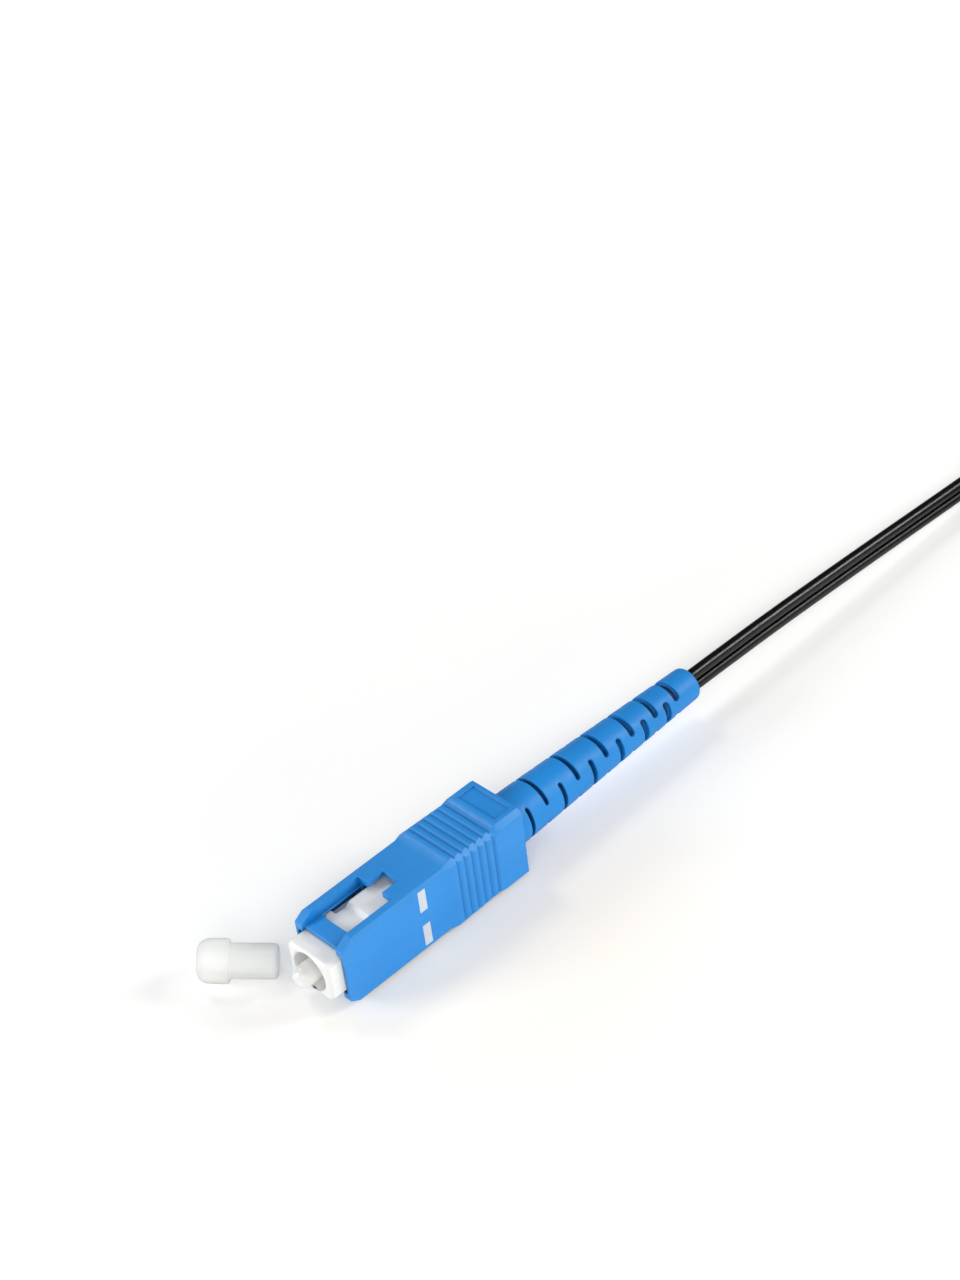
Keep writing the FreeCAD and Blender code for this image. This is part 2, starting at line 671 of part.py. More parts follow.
def rounded_path(points):
    """Straight runs joined by tangent arcs, each as large as its two runs allow."""
    edges = []
    start = points[0]
    for before, corner, after in zip(points, points[1:], points[2:]):
        back = before - corner
        ahead = after - corner
        half_turn = (math.pi - back.getAngle(ahead)) / 2
        reach = 0.45 * min(back.Length, ahead.Length)
        back.normalize()
        ahead.normalize()
        enter = corner + back * reach
        leave = corner + ahead * reach
        radius = reach / math.tan(half_turn)
        sag = radius * (1 / math.cos(half_turn) - 1)
        middle = back + ahead
        middle.normalize()
        edges.append(Part.LineSegment(start, enter).toShape())
        edges.append(Part.Arc(enter, corner + middle * sag, leave).toShape())
        print(f"cable arc radius {radius:.1f} mm")
        start = leave
    edges.append(Part.LineSegment(start, points[-1]).toShape())
    return Part.Wire(edges)


def cable_section(start):
    """Flat cable outline standing on its narrow side, the narrow sides rounded in facets."""
    flat = size("($cable_width-$cable_thickness)/2")
    half = size("$cable_thickness/2")
    corners = []
    for side in (1, -1):
        for step in range(SIDE_FACETS + 1):
            angle = math.pi * (step / SIDE_FACETS - 0.5)
            corners.append(start + Vector(0, -side * half * math.sin(angle),
                                          side * (flat + half * math.cos(angle))))
    return Part.makePolygon(corners + corners[:1])


SIDE_FACETS = 6


def make_cable():
    """Flat drop cable from the crimp down to the surface, up to its coil."""
    path = rounded_path([Vector(x, 0, z) for x, z in ROUTE])
    sweep = Part.BRepOffsetAPI.MakePipeShell(path)
    sweep.setBiNormalMode(Vector(0, 1, 0))
    sweep.add(cable_section(path.Edges[0].Vertexes[0].Point))
    sweep.build()
    sweep.makeSolid()
    cable = doc.addObject("Part::Feature", "cable")
    cable.Label = "cable"
    cable.Shape = sweep.shape()
    area = Part.Face(cable_section(Vector(0, 0, 0))).Area
    print(f"cable tube {path.Length:.1f} mm, volume {cable.Shape.Volume:.1f} mm3,"
          f" section times length {area * path.Length:.1f} mm3")
    return cable


def place_at_coil(item):
    """Stand a piece that is centred on the coil's axis on its ties, on the surface."""
    item.Placement = Placement(Vector(size("$coil_x"), size("$coil_y"),
                                      floor_level() + size("$tie_thickness")), Rotation())


def make_coil():
    """Outer shape of the put-away turns: a ring lying on its ties."""
    body = new_body("cable_coil")
    inner = "$coil_radius-$coil_width/2"
    outer = "$coil_radius+$coil_width/2"
    sketch = new_sketch(body, "coil_section", "XZ_Plane")
    add_outline(sketch, box_corners(inner, outer, "0", "$coil_height"))
    turn(body, sketch, axis="V_Axis")
    place_at_coil(body)
    return body


def make_ties():
    """Two straps round the coil, on opposite sides."""
    body = new_body("coil_ties")
    inner = "$coil_radius-$coil_width/2-$tie_gap"
    outer = "$coil_radius+$coil_width/2+$tie_gap"
    sketch = new_sketch(body, "tie_section", "XZ_Plane")
    for sign in ("", "-"):
        add_outline(sketch, box_corners(f"{sign}({inner}-$tie_thickness)",
                                        f"{sign}({outer}+$tie_thickness)",
                                        "-$tie_thickness", "$coil_height+$tie_thickness"))
        add_outline(sketch, box_corners(f"{sign}({inner})", f"{sign}({outer})",
                                        "0", "$coil_height"))
    pad(body, sketch, "$tie_width", symmetric=True)
    place_at_coil(body)
    return body


# ---------------------------------------------------------------- dust cap
def make_cap():
    """Soft cap with a closed wide head; it lies on the rims of its head and its mouth."""
    head = "$cap_head_diameter/2"
    skin = "$cap_diameter/2"
    body = turned_piece("dust_cap", [
        ("0", "0"), ("0", f"{head}-$cap_round"), ("$cap_round", head),
        ("$cap_head_length", head), ("$cap_head_length", skin), ("$cap_length", skin),
        ("$cap_length", "$cap_bore/2"), ("$cap_length-$cap_bore_depth", "$cap_bore/2"),
        ("$cap_length-$cap_bore_depth", "0")])
    lean = math.atan(size(f"({head}-({skin}))/($cap_length-$cap_head_length)"))
    rotation = Rotation(Vector(0, 0, 1), size("$cap_turn"))
    rotation = rotation.multiply(Rotation(Vector(0, 1, 0), math.degrees(lean)))
    height = floor_level() + size(head) * math.cos(lean) + size("$cap_head_length") * math.sin(lean)
    body.Placement = Placement(Vector(size("$cap_x"), size("$cap_y"), height), rotation)
    return body


# ---------------------------------------------------------------- build and export
def check_states():
    for item in doc.Objects:
        if any(word in item.State for word in ("Invalid", "Error")):
            raise RuntimeError(f"{item.Name} failed: {item.State}")


def export(pieces):
    os.makedirs("parts", exist_ok=True)
    for piece in pieces:
        if piece.Shape.isNull() or not piece.Shape.isValid():
            raise RuntimeError(f"{piece.Label} has no valid shape")
    for piece in pieces:
        piece.Shape.exportStep(f"parts/{piece.Label}.step")
        print(f"{piece.Label}: {len(piece.Shape.Solids)} solids, {piece.Shape.Volume:.2f} mm3")


def main():
    fill_sheet()
    makers = (make_ferrule, make_flange, make_frame, make_housing, make_marks, make_spring,
              make_stop_ring, make_crimp_ring, make_shrink_tube, make_fibre_tube, make_rods,
              make_boot, make_cable, make_coil, make_ties, make_cap)
    pieces = [maker() for maker in makers]
    doc.recompute()
    check_states()
    export(pieces)


main()
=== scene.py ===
"""Looks of the push-pull fibre connector: finishes, eased edges, domed ferrule, slotted boot, flat
cable with its coil, and clear dust cap. Lengths are in millimetres unless a comment says metres."""
import bpy
import bmesh
import math
from mathutils import Matrix, Vector


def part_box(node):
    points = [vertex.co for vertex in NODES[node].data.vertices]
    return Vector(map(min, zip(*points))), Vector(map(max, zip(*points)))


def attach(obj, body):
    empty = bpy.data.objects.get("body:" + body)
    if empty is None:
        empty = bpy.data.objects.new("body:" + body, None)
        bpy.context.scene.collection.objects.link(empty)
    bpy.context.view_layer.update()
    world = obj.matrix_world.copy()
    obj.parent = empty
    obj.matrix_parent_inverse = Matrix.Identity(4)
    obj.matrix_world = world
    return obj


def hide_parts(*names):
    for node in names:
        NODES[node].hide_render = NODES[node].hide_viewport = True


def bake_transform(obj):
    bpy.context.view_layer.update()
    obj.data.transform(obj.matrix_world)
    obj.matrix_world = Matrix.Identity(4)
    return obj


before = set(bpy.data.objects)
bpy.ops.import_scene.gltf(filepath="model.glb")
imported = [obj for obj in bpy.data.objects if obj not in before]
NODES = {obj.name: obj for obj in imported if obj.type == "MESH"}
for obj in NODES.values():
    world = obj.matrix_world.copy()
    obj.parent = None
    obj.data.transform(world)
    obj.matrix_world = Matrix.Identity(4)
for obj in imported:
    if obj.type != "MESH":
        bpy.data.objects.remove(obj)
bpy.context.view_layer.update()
MM = 0.001
MM_PER_METRE = 1000
FLOOR_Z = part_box("outer_housing")[0].z


# ---------------------------------------------------------------- shader helpers
RANGE_SOCKETS = ("From Min", "From Max", "To Min", "To Max")
NOISE_RANGE = (0.3, 0.7)
NOISE_DETAIL, NOISE_ROUGH = 3.0, 0.55


def new_material(name, color, roughness, **sockets):
    """A material whose Principled shader starts with these plain values."""
    mat = bpy.data.materials.new(name)
    mat.use_nodes = True
    shader = shader_of(mat)
    shader.inputs["Base Color"].default_value = (*color, 1)
    shader.inputs["Roughness"].default_value = roughness
    for key, value in sockets.items():
        shader.inputs[key].default_value = value
    return mat


def shader_of(mat):
    return mat.node_tree.nodes["Principled BSDF"]


def node(owner, kind, **values):
    """A new node in a material or world, with these socket values or settings."""
    made = owner.node_tree.nodes.new(kind)
    for key, value in values.items():
        if key in made.inputs:
            made.inputs[key].default_value = value
        else:
            setattr(made, key, value)
    return made


def link(owner, source, target):
    owner.node_tree.links.new(source, target)


def map_range(owner, value, source, target, **settings):
    """The value moved from the source range to the target range."""
    made = node(owner, "ShaderNodeMapRange", **settings)
    for socket, limit in zip(RANGE_SOCKETS, source + target):
        made.inputs[socket].default_value = limit
    link(owner, value, made.inputs["Value"])
    return made.outputs["Result"]


def combine(owner, operation, first, second):
    """One output from two, by a plain sum, product or maximum."""
    made = node(owner, "ShaderNodeMath", operation=operation)
    link(owner, first, made.inputs[0])
    link(owner, second, made.inputs[1])
    return made.outputs[0]


def color_mix(owner, factor, first, second):
    """From the plain colour first to second, which is a plain colour or another node's output."""
    mixed = node(owner, "ShaderNodeMix", data_type="RGBA")
    mixed.inputs["A"].default_value = (*first, 1)
    if isinstance(second, tuple):
        mixed.inputs["B"].default_value = (*second, 1)
    else:
        link(owner, second, mixed.inputs["B"])
    link(owner, factor, mixed.inputs["Factor"])
    return mixed.outputs["Result"]


def noise(mat, per_mm, detail=NOISE_DETAIL, rough=NOISE_ROUGH, stretch=(1, 1, 1)):
    """Noise over the object's own coordinates, with about this many cells to a millimetre."""
    coords = node(mat, "ShaderNodeTexCoord")
    mapping = node(mat, "ShaderNodeMapping", Scale=[per_mm * MM_PER_METRE * s for s in stretch])
    link(mat, coords.outputs["Object"], mapping.inputs["Vector"])
    tex = node(mat, "ShaderNodeTexNoise", Scale=1.0, Detail=detail, Roughness=rough)
    link(mat, mapping.outputs["Vector"], tex.inputs["Vector"])
    return tex.outputs["Fac"]


def shades(mat, factor, dark, light):
    """Colour that follows the noise from dark to light."""
    made = node(mat, "ShaderNodeValToRGB")
    for element, place, color in zip(made.color_ramp.elements, NOISE_RANGE, (dark, light)):
        element.position = place
        element.color = (*color, 1)
    link(mat, factor, made.inputs["Fac"])
    return made.outputs["Color"]


def spread(mat, factor, low, high):
    """Value that follows the noise from low to high."""
    return map_range(mat, factor, NOISE_RANGE, (low, high))


def bump(mat, heights):
    """Chain of bumps from (height output, depth in millimetres) pairs into the shader's normal."""
    normal = None
    for height, depth in heights:
        made = node(mat, "ShaderNodeBump", Strength=1.0, Distance=depth * MM)
        link(mat, height, made.inputs["Height"])
        if normal is not None:
            link(mat, normal, made.inputs["Normal"])
        normal = made.outputs["Normal"]
    link(mat, normal, shader_of(mat).inputs["Normal"])


def tinted(color, factor):
    return tuple(min(1.0, channel * factor) for channel in color)


def painted_crease_shade(mat, reach, span, low, high):
    """Painted shade: value from low in grooves and narrow gaps to high on open faces.

    reach is in millimetres; span gives the shares of open sky where it starts and ends."""
    sky = node(mat, "ShaderNodeAmbientOcclusion", samples=8, Distance=reach * MM)
    return map_range(mat, sky.outputs["AO"], span, (low, high))


# ---------------------------------------------------------------- finishes
FLOW_CELLS, FLOW_DETAIL, FLOW_ROUGH, FLOW_STRETCH = 0.22, 4, 0.6, (0.4, 1, 1)
GLOSS_CELLS, DULLER, GLOSSIER = 1.3, 0.06, 0.05
GRAIN_DETAIL, GRAIN_ROUGH = 2, 0.6
WAVE_CELLS, WAVE_DETAIL, WAVE_DEPTH = 0.5, 2, 0.006
LINE_CELLS, LINE_ROUGH, LINE_DEPTH = 12, 0.7, 0.003


def moulded(name, color, roughness, vary=0.05, grain=9.0, depth=0.004, shade=0.0, reach=0.8,
            span=(0.2, 0.95), **sockets):
    """Moulded plastic: faint flow variation in colour, uneven gloss, fine spark-eroded grain.

    shade is painted shade: it darkens the colour and the sheen in grooves and narrow gaps by that
    share."""
    mat = new_material(name, color, roughness, **sockets)
    shader = shader_of(mat)
    flow = noise(mat, FLOW_CELLS, FLOW_DETAIL, FLOW_ROUGH, FLOW_STRETCH)
    base = shades(mat, flow, tinted(color, 1 - vary), tinted(color, 1 + vary))
    if shade:
        # painted shade: colour and sheen go down where a spot sees little open sky
        base = color_mix(mat, painted_crease_shade(mat, reach, span, 0.0, 1.0), tinted(color, 1 - shade), base)
        sheen = shader.inputs["Specular IOR Level"]
        full = sheen.default_value
        link(mat, painted_crease_shade(mat, reach, span, full * (1 - shade), full), sheen)
    link(mat, base, shader.inputs["Base Color"])
    gloss = noise(mat, GLOSS_CELLS)
    link(mat, spread(mat, gloss, roughness - GLOSSIER, roughness + DULLER),
         shader.inputs["Roughness"])
    bump(mat, [(noise(mat, grain, GRAIN_DETAIL, GRAIN_ROUGH), depth),
               (noise(mat, WAVE_CELLS, WAVE_DETAIL), WAVE_DEPTH)])
    return mat


def milky(weight, depth, through):
    """Shader settings where light soaks in by depth millimetres and a share goes through."""
    return {"Subsurface Weight": weight, "Subsurface Scale": depth * MM,
            "Subsurface Radius": (1.0, 1.0, 1.0), "Transmission Weight": through, "IOR": 1.4}


def metal(name, color, roughness, stretch):
    """Turned or drawn metal: fine lines round or along the piece."""
    mat = new_material(name, color, roughness, Metallic=1.0)
    shader = shader_of(mat)
    lines = noise(mat, LINE_CELLS, NOISE_DETAIL, LINE_ROUGH, stretch)
    link(mat, shades(mat, lines, tinted(color, 0.85), tinted(color, 1.08)),
         shader.inputs["Base Color"])
    link(mat, spread(mat, lines, roughness - 0.08, roughness + 0.1), shader.inputs["Roughness"])
    bump(mat, [(lines, LINE_DEPTH)])
    return mat


BLUE = (0.006, 0.262, 0.74)
TURNED = (1, 0.03, 0.03)
ALONG = (0.03, 1, 1)

# painted shade in the housing's and the boot's grooves, slots and narrow gaps
housing_blue = moulded("housing_blue", BLUE, 0.42, vary=0.05, shade=0.7,
                       **{"Specular IOR Level": 0.75})
boot_blue = moulded("boot_blue", (0.006, 0.245, 0.7), 0.5, vary=0.06, grain=6.0, depth=0.005,
                    shade=0.8)
# painted shade: a dark navy for the slots' floors, standing in for the shade deep inside the slots
boot_slot_shade = moulded("boot_slot_shade", (0.003, 0.03, 0.105), 0.6, vary=0.1)
frame_white = moulded("frame_white", (0.87, 0.88, 0.87), 0.36, vary=0.02, grain=7.0, depth=0.003)
mark_white = moulded("mark_white", (0.62, 0.67, 0.76), 0.5, vary=0.04, grain=10.0, depth=0.004)
ceramic = moulded("ceramic_white", (0.84, 0.84, 0.835), 0.16, vary=0.015, grain=20.0, depth=0.0006,
                  **milky(0.5, 0.5, 0.0), **{"Specular IOR Level": 0.9})
cap_clear = moulded("cap_clear", (0.98, 0.99, 0.975), 0.55, vary=0.008, grain=5.0, depth=0.004,
                    **{**milky(0.8, 1.5, 0.6), "IOR": 1.2})
# painted shade: the cable's groove and the lobes' facing sides are darkened, in colour and in sheen
jacket = moulded("jacket_black", (0.004, 0.004, 0.0045), 0.27, vary=0.2, grain=3.0, depth=0.002,
                 shade=0.95, reach=1.3, span=(0.65, 1.0), **{"Specular IOR Level": 0.4})
shrink = moulded("shrink_black", (0.02, 0.02, 0.022), 0.55, vary=0.2, grain=4.0, depth=0.006)
tie_black = moulded("tie_black", (0.025, 0.025, 0.027), 0.6, vary=0.2, grain=4.0, depth=0.008)
buffer = moulded("buffer_white", (0.8, 0.8, 0.78), 0.4, vary=0.02)
flange_metal = metal("flange_nickel", (0.7, 0.67, 0.6), 0.3, TURNED)
stop_metal = metal("stop_nickel", (0.68, 0.66, 0.62), 0.32, TURNED)
crimp_metal = metal("crimp_steel", (0.62, 0.62, 0.63), 0.4, TURNED)
spring_metal = metal("spring_wire", (0.6, 0.6, 0.61), 0.28, ALONG)
rod_metal = metal("rod_wire", (0.5, 0.5, 0.52), 0.35, ALONG)


def dress(obj, mat):
    obj.data.materials.clear()
    obj.data.materials.append(mat)


for name, mat in (("insertion_marks", mark_white), ("ferrule_flange", flange_metal),
                  ("stop_ring", stop_metal), ("crimp_ring", crimp_metal), ("shrink_tube", shrink),
                  ("fibre_tube", buffer), ("strength_members", rod_metal)):
    dress(NODES[name], mat)


# ---------------------------------------------------------------- mesh helpers
def add_object(name, data):
    obj = bpy.data.objects.new(name, data)
    bpy.context.scene.collection.objects.link(obj)
    return obj


def smooth_faces(mesh):
    mesh.polygons.foreach_set("use_smooth", [True] * len(mesh.polygons))


def new_object(name, verts, faces, mat):
    """A smooth mesh object from corners in millimetres, faces turned outwards."""
    mesh = bpy.data.meshes.new(name)
    mesh.from_pydata([[c * MM for c in v] for v in verts], [], faces)
    mesh.validate()
    bm = bmesh.new()
    bm.from_mesh(mesh)
    bmesh.ops.recalc_face_normals(bm, faces=bm.faces)
    bm.to_mesh(mesh)
    bm.free()
    smooth_faces(mesh)
    obj = add_object(name, mesh)
    obj.data.materials.append(mat)
    return obj


def apply_modifiers(obj):
    """Put the modifiers' result into the mesh."""
    bpy.context.view_layer.update()
    graph = bpy.context.evaluated_depsgraph_get()
    mesh = bpy.data.meshes.new_from_object(obj.evaluated_get(graph), depsgraph=graph)
    obj.modifiers.clear()
    obj.data = mesh


def strips(rings):
    """Faces between each ring of corner numbers and the next."""
    faces = []
    for first, second in zip(rings, rings[1:]):
        for here in range(len(first)):
            after = (here + 1) % len(first)
            faces.append([first[here], first[after], second[after], second[here]])
    return faces


LATHE_SEGMENTS = 96


def lathe(name, profile, mat):
    """Turn (x, radius) points about the X axis; a radius of 0 closes the end."""
    verts, rings = [], []
    for x, radius in profile:
        if radius == 0:
            rings.append([len(verts)] * LATHE_SEGMENTS)
            verts.append((x, 0, 0))
            continue
        rings.append(list(range(len(verts), len(verts) + LATHE_SEGMENTS)))
        for step in range(LATHE_SEGMENTS):
            angle = 2 * math.pi * step / LATHE_SEGMENTS
            verts.append((x, radius * math.cos(angle), radius * math.sin(angle)))
    faces = [list(dict.fromkeys(corners)) for corners in strips(rings)]
    return new_object(name, verts, faces, mat)


FILLET_STEPS = 5


def rounded_profile(points):
    """Round each (x, radius, fillet) corner of a turned profile."""
    result = []
    for index, (x, r, fillet) in enumerate(points):
        if not fillet or index in (0, len(points) - 1):
            result.append((x, r))
            continue
        here = Vector((x, r))
        before = Vector(points[index - 1][:2]) - here
        after = Vector(points[index + 1][:2]) - here
        start = here + before.normalized() * fillet
        end = here + after.normalized() * fillet
        for step in range(FILLET_STEPS + 1):
            t = step / FILLET_STEPS
            spot = start * (1 - t) ** 2 + here * 2 * t * (1 - t) + end * t * t
            result.append((spot.x, spot.y))
    return result


BROAD_FACE = 4.0e-6  # square metres
SAME_PLACE = 1e-7  # metres
FLAT_ANGLE = math.radians(1.0)
EDGE_ANGLE = math.radians(25)


def eased_copy(node_name, piece_name, mat, body, width, segments=2):
    """The node's shape as a new piece with its edges rounded, as a moulding has them.

    Gentle bends between broad faces are marked sharp instead, so that each face stays flat."""
    mesh = NODES[node_name].data.copy()
    obj = add_object(piece_name, mesh)
    bm = bmesh.new()
    bm.from_mesh(mesh)
    bmesh.ops.remove_doubles(bm, verts=bm.verts, dist=SAME_PLACE)
    bmesh.ops.dissolve_limit(bm, angle_limit=FLAT_ANGLE, verts=bm.verts, edges=bm.edges)
    for edge in bm.edges:
        broad = [face.calc_area() > BROAD_FACE for face in edge.link_faces]
        if len(broad) == 2 and all(broad):
            edge.smooth = not FLAT_ANGLE < edge.calc_face_angle(0.0) < EDGE_ANGLE
    bm.to_mesh(mesh)
    bm.free()
    smooth_faces(mesh)
    dress(obj, mat)
    rounding = obj.modifiers.new("edges", "BEVEL")
    rounding.width = width * MM
    rounding.segments = segments
    rounding.limit_method = "ANGLE"
    rounding.angle_limit = EDGE_ANGLE
    rounding.use_clamp_overlap = False
    rounding.miter_outer = "MITER_ARC"
    flat = obj.modifiers.new("flat", "WEIGHTED_NORMAL")
    flat.mode = "FACE_AREA"
    flat.weight = 100
    flat.keep_sharp = True
    apply_modifiers(obj)
    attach(obj, body)
    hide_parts(node_name)
    return obj


# ---------------------------------------------------------------- housing, frame, ferrule, spring
TIP_FLAT, TIP_LENGTH, FERRULE_RADIUS = 0.15, 1.1, 1.25
DOME_STEPS = 12
GROOVE_START, GROOVE_END, GROOVE_RADIUS = 9.2, 9.85, 1.05
FERRULE_END = 11.5
SHARP_FROM, SAME_RING = 9.0, 0.01


def make_ferrule():
    """Ceramic pin with a domed tip; its adhesive groove and rear end keep crisp edges."""
    profile = [(0.0, 0.0)]
    for step in range(DOME_STEPS + 1):
        angle = math.radians(90 * step / DOME_STEPS)
        profile.append((TIP_LENGTH * (1 - math.cos(angle)),
                        TIP_FLAT + (FERRULE_RADIUS - TIP_FLAT) * math.sin(angle)))
    profile += [(GROOVE_START, FERRULE_RADIUS), (GROOVE_START, GROOVE_RADIUS),
                (GROOVE_END, GROOVE_RADIUS), (GROOVE_END, FERRULE_RADIUS),
                (FERRULE_END, FERRULE_RADIUS), (FERRULE_END, 0)]
    ferrule = lathe("ceramic_ferrule", profile, ceramic)
    for edge in ferrule.data.edges:
        ends = [ferrule.data.vertices[v].co.x for v in edge.vertices]
        one_ring = max(ends) - min(ends) < SAME_RING * MM
        edge.use_edge_sharp = min(ends) > SHARP_FROM * MM and one_ring
    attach(ferrule, "floating_ferrule")
    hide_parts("ferrule")


def make_spring():
    """The spring's own mesh at one fixed length; the real spring shortens between the moving flange
    and the fixed stop ring.
    """
    spring = add_object("ferrule_spring", NODES["spring"].data.copy())
    dress(spring, spring_metal)
    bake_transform(spring)
    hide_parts("spring")


housing = eased_copy("outer_housing", "grip_shell", housing_blue, "grip", 0.07)
white_frame = eased_copy("plug_frame", "white_frame", frame_white, "plug", 0.12, 3)
make_ferrule()
make_spring()


# ---------------------------------------------------------------- boot
BOOT_END = 60.85
COLLAR_END, COLLAR_RADIUS, TAPER_LOSS = 30.6, 3.15, 1.075
FRONT_BORE_RADIUS, BORE_RADIUS_LOSS, REAR_BORE_RADIUS = 2.22, 0.6, 1.62
BORE_TAPER_START, BORE_TAPER_RUN, BORE_TAPER_END = 36.2, 7.2, 43.4
COLLAR_RINGS = (25.7, 25.95, 28.5, 30.3, 30.9)
REAR_RINGS = (59.2, 60.1)
FRONT_LIP = ((25.62, 3.05), (25.62, 2.32))
LIP_START = 60.5
# (x, depth below the outer radius at LIP_START), then (x, radius)
REAR_LIP_OUTSIDE = ((LIP_START, 0.0), (60.74, 0.1), (BOOT_END, 0.33))
REAR_LIP_INSIDE = ((BOOT_END, 1.75), (60.74, 1.63))
SLOT_RINGS = 12
FIRST_SLOT, SLOT_STEP, SLOT_STEP_LOSS = 32.2, 2.7, 0.045
SLOT_HALF_WIDTH, SLOT_HALF_GAIN = 0.25, 0.02
# half the slot's angle and its middle in degrees, and its cells: side slots, then top and bottom
SLOT_KINDS = ((49, 0, 14), (69, 90, 20))
SLOT_TUCK = 0.8
AROUND = 52
RIM = 0.1
# the slots' floors: a sheet this far above the bore, which carries the painted shade
SLOT_SHADE_LIFT = 0.06
SLOT_LIP, SLOT_FOOT, SLOT_FLOOR = range(3)


def boot_radius(x):
    """Outer radius: straight collar, then an even taper."""
    if x <= COLLAR_END:
        return COLLAR_RADIUS
    return COLLAR_RADIUS - TAPER_LOSS * ((x - COLLAR_END) / (BOOT_END - COLLAR_END))


def bore_radius(x):
    if x <= BORE_TAPER_START:
        return FRONT_BORE_RADIUS
    if x >= BORE_TAPER_END:
        return REAR_BORE_RADIUS
    return FRONT_BORE_RADIUS - BORE_RADIUS_LOSS * (x - BORE_TAPER_START) / BORE_TAPER_RUN


def slot_ring(k):
    """(middle x, half width, half angle, middle angle, cells) of the pair of slots in ring k."""
    centre = FIRST_SLOT + SLOT_STEP * k - SLOT_STEP_LOSS * k * (k - 1)
    return (centre, SLOT_HALF_WIDTH + SLOT_HALF_GAIN * k, *SLOT_KINDS[k % 2])


def spaced(start, end, count):
    return [start + (end - start) * step / count for step in range(count)]


def ring_angles(half_span, middle, slot_cells):
    """Angles round a ring: slot_cells steps across each of two opposite slots, the rest on webs."""
    web_cells = AROUND // 2 - slot_cells
    angles = []
    for side in (0, 180):
        centre = middle + side
        angles += spaced(centre - half_span, centre + half_span, slot_cells)
        angles += spaced(centre + half_span, centre + 180 - half_span, web_cells)
    return angles


def boot_lines():
    """Rings along the boot: (x, angles, None or the (first cell, cells) of a slot)."""
    plain = [360 * step / AROUND for step in range(AROUND)]
    lines = [(x, plain, None) for x in COLLAR_RINGS]
    for k in range(SLOT_RINGS):
        centre, half, span, middle, cells = slot_ring(k)
        shift = round((middle - span) * AROUND / 360)
        radius = boot_radius(centre)
        tucked = span - math.degrees(SLOT_TUCK * half / radius)
        rimmed = tucked + math.degrees(RIM / radius)
        rows = ((centre - half - RIM, rimmed), (centre - half, tucked), (centre, span),
                (centre + half, tucked), (centre + half + RIM, rimmed))
        for row, (x, half_span) in enumerate(rows):
            angles = ring_angles(half_span, middle, cells)
            angles = angles[-shift:] + angles[:-shift]
            angles = [angle - 360 if index < AROUND / 4 and angle > 180 else angle
                      for index, angle in enumerate(angles)]
            slot = (shift % AROUND, cells) if row in (1, 2) else None
            lines.append((x, angles, slot))
        if k + 1 < SLOT_RINGS:
            following = slot_ring(k + 1)
            gap_start, gap_end = centre + half + RIM, following[0] - following[1] - RIM
            for step in (1, 2):
                lines.append((gap_start + (gap_end - gap_start) * step / 3, plain, None))
    return lines + [(x, plain, None) for x in REAR_RINGS]


def in_slot(slot, cell):
    if slot is None:
        return False
    start, count = slot
    half_turn = AROUND // 2
    return any((cell - start - side) % AROUND < count for side in (0, half_turn))


def make_boot():
    lines = boot_lines()
    last = len(lines) - 1
    verts, rims = [], {}

    def point(x, radius, angle):
        verts.append((x, radius * math.cos(math.radians(angle)),
                      radius * math.sin(math.radians(angle))))
        return len(verts) - 1

    def rim(place, depth):
        """A slot wall's corner below this place, at one of three depths."""
        if (place, depth) not in rims:
            x, angles, _slot = lines[place[0]]
            bottom = bore_radius(x) + SLOT_SHADE_LIFT
            radius = {SLOT_LIP: boot_radius(x) - RIM, SLOT_FOOT: bottom + RIM,
                      SLOT_FLOOR: bottom}[depth]
            rims[place, depth] = point(x, radius, angles[place[1]])
        return rims[place, depth]

    def wall(place):
        """The corners from the outside of the boot down to the slot's floor."""
        row, cell = place
        return [outer[row][cell]] + [rim(place, d) for d in (SLOT_LIP, SLOT_FOOT, SLOT_FLOOR)]

    outer = [[point(x, boot_radius(x), angle) for angle in angles] for x, angles, _slot in lines]
    inner = [[point(x, bore_radius(x), angle) for angle in angles] for x, angles, _slot in lines]
    faces, floors, edges = [], set(), {}
    for row in range(last):
        for cell in range(AROUND):
            after = (cell + 1) % AROUND
            ring = [(row, cell), (row, after), (row + 1, after), (row + 1, cell)]
            faces.append([inner[r][c] for r, c in reversed(ring)])
            if in_slot(lines[row][2], cell):
                # the slot is closed by a floor that carries the painted shade
                floors.add(len(faces))
                faces.append([rim(place, SLOT_FLOOR) for place in ring])
                continue
            faces.append([outer[r][c] for r, c in ring])
            for a, b in zip(ring, ring[1:] + ring[:1]):
                edges.setdefault(frozenset((a, b)), []).append((a, b))
    for uses in edges.values():
        a, b = uses[0]
        if len(uses) != 1 or {a[0], b[0]} in ({0}, {last}):
            continue
        wall_a, wall_b = wall(a), wall(b)
        for step in range(3):
            faces.append([wall_b[step], wall_a[step], wall_a[step + 1], wall_b[step + 1]])

    plain = lines[0][1]
    lip_radius = boot_radius(LIP_START)
    rear_lip = [(x, lip_radius - depth) for x, depth in REAR_LIP_OUTSIDE] + list(REAR_LIP_INSIDE)
    for start, lip, end in ((outer[0], FRONT_LIP, inner[0]), (outer[last], rear_lip, inner[last])):
        rings = [[point(x, radius, angle) for angle in plain] for x, radius in lip]
        faces += strips([start, *rings, end])
    boot = new_object("slotted_boot", verts, faces, boot_blue)
    # the slot floors take the painted shade
    boot.data.materials.append(boot_slot_shade)
    boot.data.polygons.foreach_set("material_index", [int(i in floors) for i in range(len(faces))])
    smooth = boot.modifiers.new("smooth", "SUBSURF")
    smooth.levels = smooth.render_levels = 1
    apply_modifiers(boot)
    smooth_faces(boot.data)
    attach(boot, "plug")
    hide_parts("strain_relief_boot")


make_boot()


